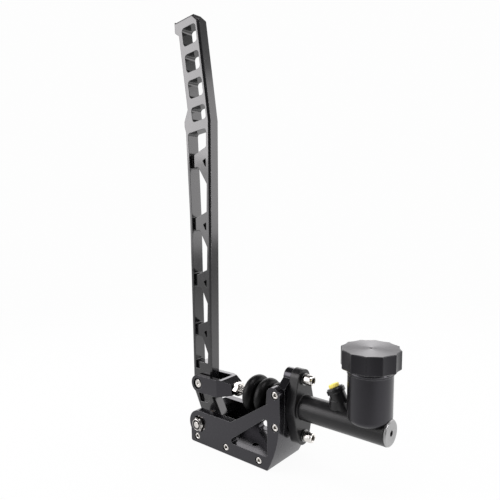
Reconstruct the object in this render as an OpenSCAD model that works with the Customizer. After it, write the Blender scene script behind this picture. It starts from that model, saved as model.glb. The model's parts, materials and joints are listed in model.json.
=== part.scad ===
// Vertical hydraulic handbrake: a tall truss lever on a two-plate base works a
// flange-mounted master cylinder through a clevis and push rod.
// The origin is the centre of the base bolt pattern, on the underside of the base.
// +X runs along the cylinder, +Z is up, and the lever swings in the XZ plane.

/* [Base] */
// Width over both side plates
base_w = 52; // [48:1:64]
// Thickness of a side plate
side_t = 8; // [6:0.5:9]
// Front edge of the base, measured from the bolt pattern
base_front = 53.4; // [53:0.2:58]
// Thickness of the base plate
floor_t = 13.5; // [13:0.5:14]
// Bolt pattern pitch along the base
mount_pitch_x = 54; // [48:1:58]
// Bolt pattern pitch across the base
mount_pitch_y = 24; // [20:1:26]
// Drilled size of a mounting hole
mount_hole_d = 6.8; // [5:0.1:8]

/* [Side plates] */
// Height of the low shelf behind the pivot boss
shelf_z = 36.5; // [35:0.5:38]
// Where the shelf meets the raised arm
notch_x = 6; // [2:1:10]
// Height at which the arm meets the rear column
arm_top_z = 67.6; // [64:0.2:70]
// Height of the rounded top of the rear column
column_top_z = 85.8; // [84:0.2:90]
// Width of the rear column
column_w = 15.5; // [14:0.5:17]
// Radius of the swept lower rear edge
rear_sweep_r = 113; // [100:1:150]
// Height at which the sweep starts
rear_sweep_z = 57; // [52:1:62]
// Corner radius of the triangular window
window_r = 2.5; // [1:0.5:4]
// Band of metal between the window and the top of the arm
arm_band = 13.3; // [11:0.1:15]

/* [Pivot] */
// Pivot position ahead of the bolt pattern
pivot_ahead = 41; // [40:0.5:42]
// Pivot height
pivot_z = 22; // [21.5:0.5:24]
// Pivot bolt diameter
pivot_d = 8; // [6:0.5:8]
// Radius of the boss round the pivot
boss_r = 14.5; // [13:0.5:15]
// Diameter of the recess for the pivot nut and head
recess_d = 18; // [17.5:0.5:20]
// Depth of the recess for the pivot nut and head
recess_deep = 5; // [3:0.5:5.5]

/* [Lever] */
// Thickness of the lever
lever_t = 14; // [12:0.5:15]
// Height of the lever top above the base
lever_top_z = 449; // [430:1:460]
// Distance of the straight back edge from the pivot
lever_back = 26.5; // [25:0.5:30]
// Width of the shaft at its foot
shaft_w_low = 27; // [26:0.5:30]
// Width of the shaft at the bend
shaft_w_high = 32.5; // [31:0.5:36]
// Height of the bend where the grip starts
bend_z = 342; // [338:1:346]
// Lean of the grip
grip_lean = 7.8; // [7:0.2:10]
// Width of the grip
grip_w = 30; // [28:0.5:33]
// Number of grip windows
grip_windows = 4; // [3:1:4]
// Pitch of the grip windows
grip_pitch = 26.6; // [24:0.2:27]
// Width of the truss rail along the back
rail_w = 3; // [2:0.5:4]
// Width of the truss rail along the front
front_rail_w = 4.8; // [4:0.2:6]
// Number of truss ribs
rib_count = 4; // [3:1:4]
// Thickness of the web behind a truss pocket
pocket_web = 5; // [3:0.5:8]
// Chamfer along the long edges
edge_chamfer = 2; // [1:0.5:3]
// Full swing of the lever, in degrees
lever_swing = 22; // [15:1:24]

/* [Clevis and push rod] */
// Crank radius from the pivot to the clevis pin
crank_r = 40.5; // [39:0.5:42]
// Angle of the crank ahead of vertical
crank_angle = 20.2; // [18:0.2:22]
// Width of the clevis
clevis_w = 28; // [26:0.5:32]
// Width of the clevis slot
clevis_slot_w = 18; // [17:0.5:20]
// Height of the clevis ears
clevis_h = 19; // [18:0.5:22]
// Clevis pin diameter
pin_d = 6; // [5:0.5:7]
// Push rod diameter
rod_d = 8; // [6:0.5:8]
// Ball diameter at the end of the push rod
ball_d = 10; // [9:0.5:10.5]

/* [Master cylinder] */
// Height of the cylinder axis
cyl_z = 62.5; // [62:0.5:64]
// Pitch of the two flange bolts
bolt_pitch = 57.15; // [56:0.05:59]
// Thickness of the upright bracket
upright_t = 9; // [8.8:0.2:12]
// Rear face of the upright, where the flange seats
flange_x = 69; // [68:0.5:70]
// Thickness of the flange
flange_t = 10; // [8:0.5:12]
// Radius of the middle of the flange
flange_r = 16.5; // [16:0.5:21]
// Radius of the flange lobes
lobe_r = 9.3; // [8.5:0.1:11]
// Outside diameter of the tube
tube_d = 24.4; // [23.5:0.1:26]
// Bore of the cylinder
bore_d = 19; // [18:0.05:19.1]
// Outer face of the end plug
tube_end_x = 170.8; // [168:0.2:176]
// Flange bolt diameter
flange_bolt_d = 6; // [5:0.5:6.5]

/* [Reservoir] */
// Reservoir axis
res_x = 149.7; // [149:0.1:150.5]
// Outside diameter of the reservoir
res_d = 40.4; // [38:0.2:42]
// Wall of the reservoir
res_wall = 3; // [2:0.25:4]
// Underside of the reservoir
res_low_z = 68; // [66:0.5:70]
// Cap diameter
cap_d = 53; // [52:0.5:56]
// Cap height
cap_h = 17.3; // [16:0.1:19]
// Top of the cap
cap_top_z = 134.4; // [132:0.2:138]
// Flutes round the cap
cap_flutes = 12; // [8:1:16]

/* [Outlet port] */
// Where the port axis meets the cylinder axis
port_x = 128.3; // [127:0.1:129.5]
// Lean of the port towards the flange
port_lean = 28; // [26:0.2:32]
// Reach of the port from the cylinder axis
port_reach = 32; // [30:0.2:34]
// Port body diameter
port_d = 15; // [13:0.2:15.6]

/* [Fits] */
// Radial running clearance of a pin or shaft
run_fit = 0.04; // [0.02:0.01:0.08]
// Radial clearance of a bolt in its hole
bolt_fit = 0.2; // [0.15:0.05:0.4]
// Clearance between faces that move past each other
face_gap = 0.2; // [0.15:0.05:0.3]
// Clearance of the push rod ball in the piston
ball_gap = 0.9; // [0.85:0.05:1.2]

/* [Hidden] */

// Facets of a true round, and of the small corner rounds
round_fn = 96;
corner_fn = 24;
// Overlap that keeps a cutter clear of the face it cuts
cut = 1;
// Clearance of a part that is held tight in its seat
seat_gap = 0.05;

// Shared places
half_w = base_w / 2;
inner_half = half_w - side_t;
pivot_x = -pivot_ahead;
column_front_x = flange_x - column_w;
upright_front_x = flange_x - upright_t;
upper_bolt_z = cyl_z + bolt_pitch / 2;
lower_bolt_z = cyl_z - bolt_pitch / 2;
tube_r = tube_d / 2;
spigot_d = 26;
upright_lobe_r = 8;

// Side screws: countersunk-in-plate cap screws
screw_d = 4;
screw_head_d = 7;
screw_head_h = 4;
screw_hex = 3;
screw_reach = 17;
screw_recess_d = screw_head_d + 1.4;
screw_recess = screw_head_h + 0.4;
screw_hole_end = screw_recess + screw_reach - half_w + 0.5;
floor_screw_z = floor_t / 2;
floor_screw_x = [-base_front + 8.9, -2, 42.5];
column_screw_x = flange_x - 5.8;
column_screw_z = [46.5, column_top_z - column_w / 2 + 0.6];
side_screw_places = concat(
    [for (x = floor_screw_x) [x, floor_screw_z]],
    [for (z = column_screw_z) [column_screw_x, z]]
);

// Pivot stack, from the middle outwards
bush_wall = 2;
bush_flange_t = 1.5;
bush_flange_d = 15;
bush_half = lever_t / 2 + bush_flange_t;
spacer_d = 14;
washer_t = 1.6;
washer_d = 16;
nut_af = 13;
nut_h = 7.6;
bolt_head_h = 5.3;
bolt_tip = 0.2;
recess_floor = half_w - recess_deep;
relief_r = 13;

// Clevis pin place and rod line
pin_x = pivot_x - crank_r * sin(crank_angle);
pin_z = pivot_z + crank_r * cos(crank_angle);
ball_x = flange_x - 3;
rod_tilt = atan2(cyl_z - pin_z, ball_x - pin_x);
rod_len = norm([ball_x - pin_x, cyl_z - pin_z]);
clevis_slot_end = 31;
clevis_nose_end = 45.5;
clevis_nose_w = 16;
clevis_nose_h = 12;
pin_head_d = 10;
pin_head_h = 2.5;
pin_recess_d = 13;
pin_recess = 3;
clip_t = 0.8;
lock_nut_h = 6.5;
rod_neck_d = 6;
rod_neck_len = 22;
washer_gap = (clevis_slot_w - lever_t) / 2;

// Boot along the rod line, measured back from the ball
boot_cuff_x = -17.4;
boot_cuff_len = 6;
boot_wall = 1.4;
boot_neck_r = 6.4;
boot_neck_x = -61;
boot_rings = [[-46.5, 19.9], [-32, 19.3], [-18.6, 17.3]];
boot_ring_half = 6.6;
boot_valley_r = 12.5;
boot_cuff_r = spigot_d / 2 + 0.4;
boot_wire = 1.6;

// Inside the cylinder
spigot_x = flange_x - 20;
mouth_d = 21.5;
mouth_x = spigot_x + 7;
clip_groove_d = 23;
clip_ring_t = 1.3;
clip_x = mouth_x - washer_t - clip_ring_t - 2 * seat_gap;
clip_slot = 4;
stroke = crank_r * (sin(crank_angle) + sin(lever_swing - crank_angle));
piston_x = mouth_x + face_gap;
piston_front_x = 96;
rear_seal_x = 80;
seal_t = 3.5;
seal_slack = 0.2;
lip_h = 1.4;
seal_core_d = 12;
thimble_t = 1.2;
thimble_len = 7;
stem_d = 4;
stem_in = 3;
valve_d = 11;
valve_t = 2;
valve_seal_t = 3;
seat_x = 155;
spring_seat_x = seat_x - 9;
seat_floor = 2;
seat_slot = 4;
valve_x = spring_seat_x + seat_floor + 1;
spring_d = 15;
spring_wire = 1.8;
spring_turns = 8;
plug_rim_t = 2;
feed_x = 160;
feed_d = 5;

// Reservoir stack
res_floor_z = cyl_z + tube_r + 4;
res_fillet = 6;
neck_d = res_d + 1.2;
neck_low_z = cap_top_z - cap_h - 4.5;
cap_roof = 4;
neck_top_z = cap_top_z - cap_roof - 1.6;
gasket_t = 1.4;
cap_thread_gap = 0.6;

// Outlet port
port_bore_d = 8.5;
collar_d = 17.4;
collar_h = 5;
pad_x = 117.5;
pad_d = 17;
pad_h = 18;
web_t = 9;
plug_head_d = 10;
plug_head_h = 3.4;
plug_stem = 8;

// Lever outline, as offsets from the pivot
back_edge = -lever_back;
foot_z = 88;
front_low = back_edge + shaft_w_low;
front_high = back_edge + shaft_w_high;
front_slope = (front_high - front_low) / (bend_z - foot_z);
grip_slope = tan(grip_lean);
hook_reach = 5.5;
hook_h = 11;
hook_start = 15;
thumb_reach = 4.7;
thumb_rise = 10;
thumb_h = 5;
thumb_z = bend_z + 1;
thumb_end_z = bend_z + 13;
top_cut_w = 7;
top_cut_h = 6.4;
nose_w = 2.2;
nose_h = 1.2;
top_back_z = lever_top_z - grip_slope * (grip_w + hook_reach - top_cut_w - nose_w);
limb_end_r = 12;
limb_back_z = pin_z - 10.5;
// Direction, from the pivot, in which the limb's back edge touches the round end
limb_back_corner = [back_edge, limb_back_z - pivot_z];
limb_touch = atan2(limb_back_corner.y, limb_back_corner.x) + acos(limb_end_r / norm(limb_back_corner));
knee_z = pin_z;
heel_drop = 14;
heel = [front_low + 2.4, pin_z - heel_drop];
toe = [limb_end_r + 1.4, pivot_z + 5];
function front_edge(z) = front_low + front_slope * (z - foot_z);
function grip_front(z) = front_high - grip_slope * (z - bend_z);
function grip_back(z) = grip_front(z) - grip_w;
// Height of a truss rib: the spacing closes up towards the foot
rib_first_z = 301.5;
rib_pitch = 66.3;
rib_close_up = 2.6;
function rib_z(i) = rib_first_z - rib_pitch * i + rib_close_up * i * (i - 1);
rib_half = 6.5;
// The back edge leans out above the second rib
bow_z = rib_z(1) + rib_half;
bow_slope = 0.031;
function back_line(z) = back_edge - bow_slope * max(0, z - bow_z);
truss_r = 1.2;
top_window_r = 3;
rib_face_x = back_edge + 8.9;
rib_rise = 0.42;
strut_x = rib_face_x + 5.8;
strut_drop = 17.3;
truss_top_z = 330.5;
truss_foot_z = 83;
pocket_foot_z = 75;

// Stretch an outline drawn in the XZ plane from one Y to another
module along_y(y0, y1) {
    translate([0, y1, 0]) rotate([90, 0, 0]) linear_extrude(y1 - y0) children();
}

// Turn an outline of [radius, x] about a line along X at height z
module about_x(z) {
    translate([0, 0, z]) rotate([0, 90, 0]) rotate_extrude($fn = round_fn) children();
}

// Put a shape on both sides of the centre plane
module both_sides() {
    children();
    mirror([0, 1, 0]) children();
}

// Straight bar along Y
module bar_y(d, y0, y1) {
    along_y(y0, y1) circle(d = d, $fn = round_fn);
}

// Straight bar along X
module bar_x(d, x0, x1) {
    translate([x0, 0, 0]) rotate([0, 90, 0]) cylinder(d = d, h = x1 - x0, $fn = round_fn);
}

// Round the inside corners that a milling cutter leaves in a window
module milled(r) {
    offset(r = r, $fn = corner_fn) offset(delta = -r) children();
}

// Flat ring standing on XY
module ring(outer_d, inner_d, h) {
    difference() {
        cylinder(d = outer_d, h = h, $fn = round_fn);
        translate([0, 0, -cut]) cylinder(d = inner_d, h = h + 2 * cut, $fn = round_fn);
    }
}

// Socket screw with its head above XY and its shank below
module socket_screw(d, reach, head_d, head_h, hex) {
    difference() {
        union() {
            translate([0, 0, -reach]) cylinder(d = d, h = reach + cut, $fn = round_fn);
            cylinder(d = head_d, h = head_h, $fn = round_fn);
        }
        translate([0, 0, head_h * 0.45]) cylinder(d = hex / cos(30), h = head_h, $fn = 6);
    }
}

// Hexagon prism with its flats the given distance apart
module hexagon(af, h) {
    cylinder(d = af / cos(30), h = h, $fn = 6);
}

// Region behind the swept lower rear edge of the base
module rear_sweep_cut() {
    difference() {
        translate([0, -cut]) square([flange_x + 20, rear_sweep_z + cut]);
        translate([flange_x - rear_sweep_r, rear_sweep_z]) circle(rear_sweep_r, $fn = 360);
    }
}

// Outline of a side plate without its window
module side_outline() {
    column_r = column_w / 2;
    toe = 1.5;
    difference() {
        union() {
            polygon([
                [-base_front, toe], [toe - base_front, 0], [flange_x, 0],
                [flange_x, column_top_z - column_r], [column_front_x, column_top_z - column_r],
                [column_front_x, arm_top_z], [notch_x, shelf_z],
                [pivot_x, shelf_z], [-base_front, pivot_z]
            ]);
            translate([column_front_x + column_r, column_top_z - column_r])
                circle(column_r, $fn = round_fn);
            translate([pivot_x, pivot_z]) circle(boss_r, $fn = round_fn);
        }
        rear_sweep_cut();
    }
}

// Triangular window between the arm, the column and the base plate
module side_window() {
    ledge = 0.4;
    toe = 4;
    right = column_front_x + ledge;
    rise = (arm_top_z - shelf_z) / (column_front_x - notch_x);
    low = floor_t + ledge;
    left = notch_x - ledge;
    milled(window_r) polygon([
        [left, low + toe], [left + 1, low], [right, low],
        [right, arm_top_z + rise * ledge - arm_band]
    ]);
}

module side_plate() {
    difference() {
        along_y(-half_w, -inner_half) difference() {
            side_outline();
            side_window();
        }
        translate([pivot_x, 0, pivot_z]) {
            bar_y(pivot_d + 2 * bolt_fit, -half_w - cut, -inner_half + cut);
            bar_y(recess_d, -half_w - cut, -recess_floor);
        }
        for (p = side_screw_places) translate([p.x, 0, p.y]) {
            bar_y(screw_d + 2 * bolt_fit, -half_w - cut, -inner_half + cut);
            bar_y(screw_recess_d, -half_w - cut, screw_recess - half_w);
        }
    }
}

module side_plate_near() {
    color([0.12, 0.12, 0.13]) side_plate();
}

module side_plate_far() {
    color([0.12, 0.12, 0.13]) mirror([0, 1, 0]) side_plate();
}

// Floor between the side plates, scooped out under the foot of the lever
module base_plate() {
    relief_half = bush_half + 1.5;
    color([0.14, 0.14, 0.15]) difference() {
        along_y(-inner_half, inner_half) difference() {
            translate([-base_front, 0]) square([base_front + flange_x, floor_t]);
            rear_sweep_cut();
        }
        translate([pivot_x, 0, pivot_z]) bar_y(2 * relief_r, -relief_half, relief_half);
        for (x = [-1, 1], y = [-1, 1])
            translate([x * mount_pitch_x / 2, y * mount_pitch_y / 2, -cut])
                cylinder(d = mount_hole_d, h = floor_t + 2 * cut, $fn = round_fn);
        both_sides() for (x = floor_screw_x) translate([x, 0, floor_screw_z])
            bar_y(screw_d + 2 * seat_gap, -half_w, screw_hole_end);
    }
}

// Upright bracket that carries the cylinder flange
module upright() {
    shoulder_z = column_top_z - 2.8;
    shoulder_in = 5.5;
    shoulder_rise = 4.5;
    color([0.11, 0.11, 0.12]) difference() {
        intersection() {
            translate([upright_front_x, 0, 0]) rotate([90, 0, 90]) linear_extrude(upright_t) union() {
                polygon([
                    [-inner_half, floor_t], [inner_half, floor_t], [inner_half, shoulder_z],
                    [inner_half - shoulder_in, shoulder_z + shoulder_rise],
                    [upright_lobe_r, upper_bolt_z], [-upright_lobe_r, upper_bolt_z],
                    [shoulder_in - inner_half, shoulder_z + shoulder_rise],
                    [-inner_half, shoulder_z]
                ]);
                translate([0, upper_bolt_z]) circle(upright_lobe_r, $fn = round_fn);
            }
            along_y(-half_w, half_w) difference() {
                square([flange_x + cut, upper_bolt_z + 2 * lobe_r]);
                rear_sweep_cut();
            }
        }
        translate([0, 0, cyl_z]) bar_x(spigot_d + 2 * seat_gap, upright_front_x - cut, flange_x + cut);
        for (z = [lower_bolt_z, upper_bolt_z]) translate([0, 0, z])
            bar_x(flange_bolt_d + 2 * seat_gap, upright_front_x - cut, flange_x + cut);
        both_sides() for (z = column_screw_z) translate([column_screw_x, 0, z])
            bar_y(screw_d + 2 * seat_gap, -half_w, screw_hole_end);
    }
}

module side_screws() {
    color([0.8, 0.8, 0.82]) both_sides() for (p = side_screw_places)
        translate([p.x, screw_recess - half_w, p.y]) rotate([90, 0, 0])
            socket_screw(screw_d, screw_reach, screw_head_d, screw_head_h, screw_hex);
}

// Hexagon-head pivot bolt, put in from the far side
module pivot_bolt() {
    head_y = recess_floor + washer_t;
    tip_y = -recess_floor - washer_t - nut_h - bolt_tip;
    color([0.75, 0.75, 0.78]) translate([pivot_x, 0, pivot_z]) {
        bar_y(pivot_d, tip_y, head_y + cut);
        translate([0, head_y + bolt_head_h, 0]) rotate([90, 0, 0]) hexagon(nut_af, bolt_head_h);
    }
}

// Locking nut with a round collar
module pivot_nut() {
    collar_h = 1.8;
    color([0.8, 0.8, 0.82]) translate([pivot_x, -recess_floor - washer_t, pivot_z]) rotate([90, 0, 0])
        difference() {
            union() {
                hexagon(nut_af, nut_h - collar_h);
                cylinder(d = nut_af - 0.4, h = nut_h, $fn = round_fn);
            }
            translate([0, 0, -cut]) cylinder(d = pivot_d + 2 * seat_gap, h = nut_h + 2 * cut, $fn = round_fn);
        }
}

module pivot_washers() {
    color([0.78, 0.78, 0.8]) both_sides() translate([pivot_x, -recess_floor, pivot_z]) rotate([90, 0, 0])
        ring(washer_d, pivot_d + 2 * bolt_fit, washer_t);
}

// Sleeves that centre the lever between the side plates
module pivot_spacers() {
    color([0.3, 0.3, 0.32]) both_sides()
        translate([pivot_x, -bush_half - face_gap, pivot_z]) rotate([90, 0, 0])
            ring(spacer_d, pivot_d + 2 * bolt_fit, inner_half - bush_half - face_gap);
}

// Window with round corners, square to the leaning grip
module leaning_window(w, h, r) {
    x = w / 2 - r;
    z = h / 2 - r;
    rotate(grip_lean) {
        square([w, 2 * z], center = true);
        square([2 * x, h], center = true);
        for (c = [[x, z], [x, -z], [-x, z], [-x, -z]]) translate(c) circle(r, $fn = round_fn);
    }
}

// Outer outline of the lever: x from the pivot, z from the floor
module lever_outline() {
    hook_x = grip_back(top_back_z) - hook_reach;
    polygon([
        [back_edge, limb_back_z], [back_edge, bow_z],
        [back_line(bend_z - thumb_rise), bend_z - thumb_rise],
        [back_edge - thumb_reach, thumb_z - thumb_h], [back_edge - thumb_reach, thumb_z],
        [grip_back(thumb_end_z), thumb_end_z],
        [grip_back(top_back_z - hook_start), top_back_z - hook_start],
        [grip_back(top_back_z - hook_h) - hook_reach, top_back_z - hook_h],
        [hook_x + nose_h, top_back_z - nose_h], [hook_x + nose_w, top_back_z],
        [grip_front(lever_top_z) - top_cut_w, lever_top_z],
        [grip_front(lever_top_z - top_cut_h), lever_top_z - top_cut_h],
        [front_high, bend_z], [front_low, foot_z], [front_low, knee_z], heel, toe,
        [0, pivot_z], [limb_end_r * cos(limb_touch), pivot_z + limb_end_r * sin(limb_touch)]
    ]);
}

// One through window of the truss, between a rib above and a rib below
module truss_window(upper, lower) {
    top_z = upper < 0 ? truss_top_z : rib_z(upper) - rib_half;
    low_z = lower < rib_count ? rib_z(lower) + rib_half : truss_foot_z;
    rise = lower < rib_count ? rib_rise : 0;
    left = back_line(low_z) + rail_w;
    left_top = back_line(top_z) + rail_w;
    right = front_edge(low_z) - front_rail_w;
    right_top = front_edge(top_z) - front_rail_w;
    ceiling = upper < 0
        ? [[right_top, top_z + grip_slope * (right_top - left_top)]]
        : [[right_top, top_z - strut_drop], [strut_x, top_z], [rib_face_x, top_z]];
    outline = concat(
        [[left, low_z], [rib_face_x, low_z], [right, low_z + rise * (right - rib_face_x)]],
        ceiling, [[left_top, top_z]]
    );
    milled(upper < 0 ? top_window_r : truss_r) polygon(outline);
}

// Small triangular hole between the two struts of a rib
module rib_hole(i) {
    rim = 0.9;
    w = 4.6;
    up = 2.4;
    down = 7.5;
    translate([front_edge(rib_z(i)) - front_rail_w - rim, rib_z(i)])
        milled(truss_r / 2) polygon([[-w, 0], [0, up], [0, -down]]);
}

// Milled pocket beside each rib, which leaves a thin web
module truss_pocket(low_z, high_z) {
    from_z = low_z - cut / 2;
    to_z = high_z + cut / 2;
    both_sides() along_y(-lever_t / 2 - cut, -pocket_web / 2)
        polygon([
            [back_line(from_z) + rail_w, from_z], [rib_face_x, from_z],
            [rib_face_x, to_z], [back_line(to_z) + rail_w, to_z]
        ]);
}

// Cut a 45 degree chamfer along the edge from a to b, on both faces of the lever
module edge_cut(a, b) {
    d = b - a;
    side = edge_chamfer * sqrt(2);
    both_sides() translate([(a.x + b.x) / 2, -lever_t / 2, (a.y + b.y) / 2])
        rotate([0, -atan2(d.y, d.x), 0]) rotate([45, 0, 0])
            cube([norm(d) + 0.6, side, side], center = true);
}

// Shallow pocket milled in both faces of the lower limb, as shares of the crank radius
module limb_pocket() {
    deep = 3;
    corners = [[-0.5, 0.62], [-0.08, 0.66], [-0.1, 0.4], [-0.42, 0.37]];
    both_sides() along_y(-lever_t / 2 - cut, deep - lever_t / 2) translate([0, pivot_z])
        milled(truss_r) polygon(crank_r * corners);
}

// One-piece lever: windowed grip, truss shaft and the limb that carries the pivot
module lever() {
    half_t = lever_t / 2;
    first_window = 20;
    window_rim = 9.7;
    window_h = 18.2;
    last_window_h = 14.6;
    last_window_up = 0.9;
    corner_r = 3.4;
    hook_top = [grip_back(top_back_z) - hook_reach + nose_w, top_back_z];
    grip_top = [grip_front(lever_top_z - top_cut_h), lever_top_z - top_cut_h];
    grip_end = [grip_front(lever_top_z) - top_cut_w, lever_top_z];
    color([0.16, 0.16, 0.17]) translate([pivot_x, 0, 0]) difference() {
        union() {
            along_y(-half_t, half_t) difference() {
                lever_outline();
                for (i = [0 : grip_windows - 1]) {
                    last = i == grip_windows - 1;
                    z = lever_top_z - first_window - grip_pitch * i + (last ? last_window_up : 0);
                    translate([(grip_front(z) + grip_back(z) + 1) / 2, z])
                        leaning_window(grip_w - window_rim, last ? last_window_h : window_h, corner_r);
                }
                for (i = [-1 : rib_count - 1]) truss_window(i, i + 1);
                for (i = [0 : rib_count - 1]) rib_hole(i);
            }
            translate([0, 0, pivot_z]) bar_y(2 * limb_end_r, -half_t, half_t);
        }
        for (i = [0 : rib_count - 1]) truss_pocket(rib_z(i) - rib_half, rib_z(i) + rib_half);
        truss_pocket(pocket_foot_z, truss_foot_z);
        edge_cut([front_low, knee_z + 4], [front_high, bend_z]);
        edge_cut([front_high, bend_z], grip_top);
        edge_cut(grip_top, grip_end);
        edge_cut(grip_end, hook_top);
        edge_cut(heel, toe);
        limb_pocket();
        translate([0, 0, pivot_z]) bar_y(pivot_d + 2 * bush_wall, -lever_t, lever_t);
        translate([pin_x - pivot_x, 0, pin_z]) bar_y(pin_d + 2 * bush_wall, -lever_t, lever_t);
    }
}

// Two flanged bushes pressed into the lever from its faces
module pivot_bushes() {
    color([0.72, 0.53, 0.26]) translate([pivot_x, 0, pivot_z]) both_sides() difference() {
        union() {
            bar_y(pivot_d + 2 * bush_wall, -bush_half, -seat_gap);
            bar_y(bush_flange_d, -bush_half, -lever_t / 2);
        }
        bar_y(pivot_d + 2 * run_fit, -bush_half - cut, cut);
    }
}

module clevis_bush() {
    color([0.72, 0.53, 0.26]) translate([pin_x, 0, pin_z]) difference() {
        bar_y(pin_d + 2 * bush_wall, -lever_t / 2, lever_t / 2);
        bar_y(pin_d + 2 * run_fit, -lever_t, lever_t);
    }
}

// Rod line: the clevis pin is the origin and X runs along the push rod
module on_rod() {
    translate([pin_x, 0, pin_z]) rotate([0, -rod_tilt, 0]) children();
}

// Forked clevis with a nose that tapers to the push rod
module clevis() {
    ear_r = clevis_h / 2;
    taper_x = clevis_slot_end - 2;
    color([0.12, 0.12, 0.13]) on_rod() difference() {
        intersection() {
            along_y(-clevis_w / 2, clevis_w / 2) union() {
                circle(ear_r, $fn = round_fn);
                polygon([
                    [0, -ear_r], [taper_x, -ear_r], [clevis_nose_end, -clevis_nose_h / 2],
                    [clevis_nose_end, clevis_nose_h / 2], [taper_x + 6, ear_r], [0, ear_r]
                ]);
            }
            translate([0, 0, -clevis_h]) linear_extrude(2 * clevis_h) polygon([
                [-clevis_h, -clevis_w / 2], [taper_x, -clevis_w / 2], [clevis_nose_end, -clevis_nose_w / 2],
                [clevis_nose_end, clevis_nose_w / 2], [taper_x, clevis_w / 2], [-clevis_h, clevis_w / 2]
            ]);
        }
        translate([-clevis_h, -clevis_slot_w / 2, -clevis_h])
            cube([clevis_h + clevis_slot_end, clevis_slot_w, 2 * clevis_h]);
        bar_y(pin_d + 2 * seat_gap, -clevis_w, clevis_w);
        both_sides() bar_y(pin_recess_d, -clevis_w, pin_recess - clevis_w / 2);
        bar_x(rod_d + 2 * seat_gap, clevis_slot_end - cut, clevis_nose_end + cut);
    }
}

// Clevis pin with a flat socket head on the near side
module clevis_pin() {
    head_y = pin_recess - clevis_w / 2;
    color([0.8, 0.8, 0.82]) on_rod() difference() {
        translate([0, head_y, 0]) rotate([90, 0, 0])
            socket_screw(pin_d, clevis_w - pin_recess - 0.5, pin_head_d, pin_head_h, 4);
        difference() {
            bar_y(pin_d + 2 * cut, clevis_w / 2 - pin_recess, clevis_w / 2 - pin_recess + clip_t);
            bar_y(pin_d - 1, 0, clevis_w);
        }
    }
}

module clevis_pin_clip() {
    color([0.5, 0.5, 0.52]) on_rod() translate([0, clevis_w / 2 - pin_recess + clip_t, 0])
        rotate([90, 0, 0]) ring(pin_d + 4, pin_d - 1 + 2 * seat_gap, clip_t - seat_gap);
}

// Plain washers that centre the lever in the clevis
module clevis_washers() {
    color([0.85, 0.84, 0.78]) on_rod() both_sides()
        translate([0, -lever_t / 2 - face_gap, 0]) rotate([90, 0, 0])
            ring(pin_d + 6, pin_d + 2 * seat_gap, washer_gap - face_gap);
}

module lock_nut() {
    color([0.8, 0.8, 0.82]) on_rod() translate([clevis_nose_end, 0, 0]) rotate([0, 90, 0]) difference() {
        hexagon(nut_af, lock_nut_h);
        translate([0, 0, -cut]) cylinder(d = rod_d + 2 * seat_gap, h = lock_nut_h + 2 * cut, $fn = round_fn);
    }
}

// Threaded rod with a slimmer neck and a ball end
module pushrod() {
    color([0.7, 0.7, 0.72]) on_rod() {
        bar_x(rod_d, clevis_slot_end, rod_len - rod_neck_len);
        bar_x(rod_neck_d, rod_len - rod_neck_len - cut, rod_len);
        translate([rod_len, 0, 0]) sphere(d = ball_d, $fn = round_fn);
    }
}

// Profile of the rubber bellows; a bigger inset gives its inside
module boot_profile(inset) {
    neck = boot_neck_r - inset;
    cuff = boot_cuff_r + boot_wall - inset;
    first = boot_rings[0][0] - boot_ring_half;
    difference() {
        union() {
            translate([0, boot_neck_x - cut]) square([neck, first - boot_neck_x + inset + 2 * cut]);
            translate([0, first + inset]) square([boot_valley_r - inset, boot_cuff_x - first - inset]);
            translate([0, boot_cuff_x - cut]) square([cuff, boot_cuff_len + 2 * cut]);
            for (r = boot_rings) {
                translate([r[1] - boot_ring_half, r[0]]) circle(boot_ring_half - inset, $fn = round_fn);
                translate([0, r[0] - boot_ring_half + inset])
                    square([r[1] - boot_ring_half, 2 * (boot_ring_half - inset)]);
            }
        }
        translate([-cut, boot_neck_x - 3 * cut]) square([base_w, 3 * cut - (inset > 0 ? cut : 0)]);
        translate([-cut, boot_cuff_x + boot_cuff_len + (inset > 0 ? cut : 0)]) square([base_w, 4 * cut]);
    }
}

// Rubber bellows from the push rod to the cylinder mouth
module boot() {
    color([0.06, 0.06, 0.06]) on_rod() translate([rod_len, 0, 0]) rotate([0, 90, 0])
        difference() {
            rotate_extrude($fn = round_fn) boot_profile(0);
            rotate_extrude($fn = round_fn) boot_profile(boot_wall);
        }
}

// Wire clip round the cuff of the boot
module boot_clip() {
    wire_r = boot_wire / 2;
    color([0.5, 0.5, 0.52]) on_rod() translate([rod_len, 0, 0]) rotate([0, 90, 0])
        rotate_extrude($fn = round_fn)
            translate([boot_cuff_r + boot_wall + wire_r + seat_gap, boot_cuff_x + boot_cuff_len - 1.6 * wire_r])
                circle(wire_r, $fn = corner_fn);
}

// Diamond flange: a middle circle joined to two bolt lobes by tangent sides
module flange_outline() {
    half = bolt_pitch / 2;
    a = asin((flange_r - lobe_r) / half);
    big = flange_r * [cos(a), sin(a)];
    small = [lobe_r * cos(a), half + lobe_r * sin(a)];
    circle(flange_r, $fn = round_fn);
    for (s = [-1, 1]) translate([0, s * half]) circle(lobe_r, $fn = round_fn);
    polygon([
        big, small, [-small.x, small.y], [-big.x, big.y],
        -big, -small, [small.x, -small.y], [big.x, -big.y]
    ]);
}

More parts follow.
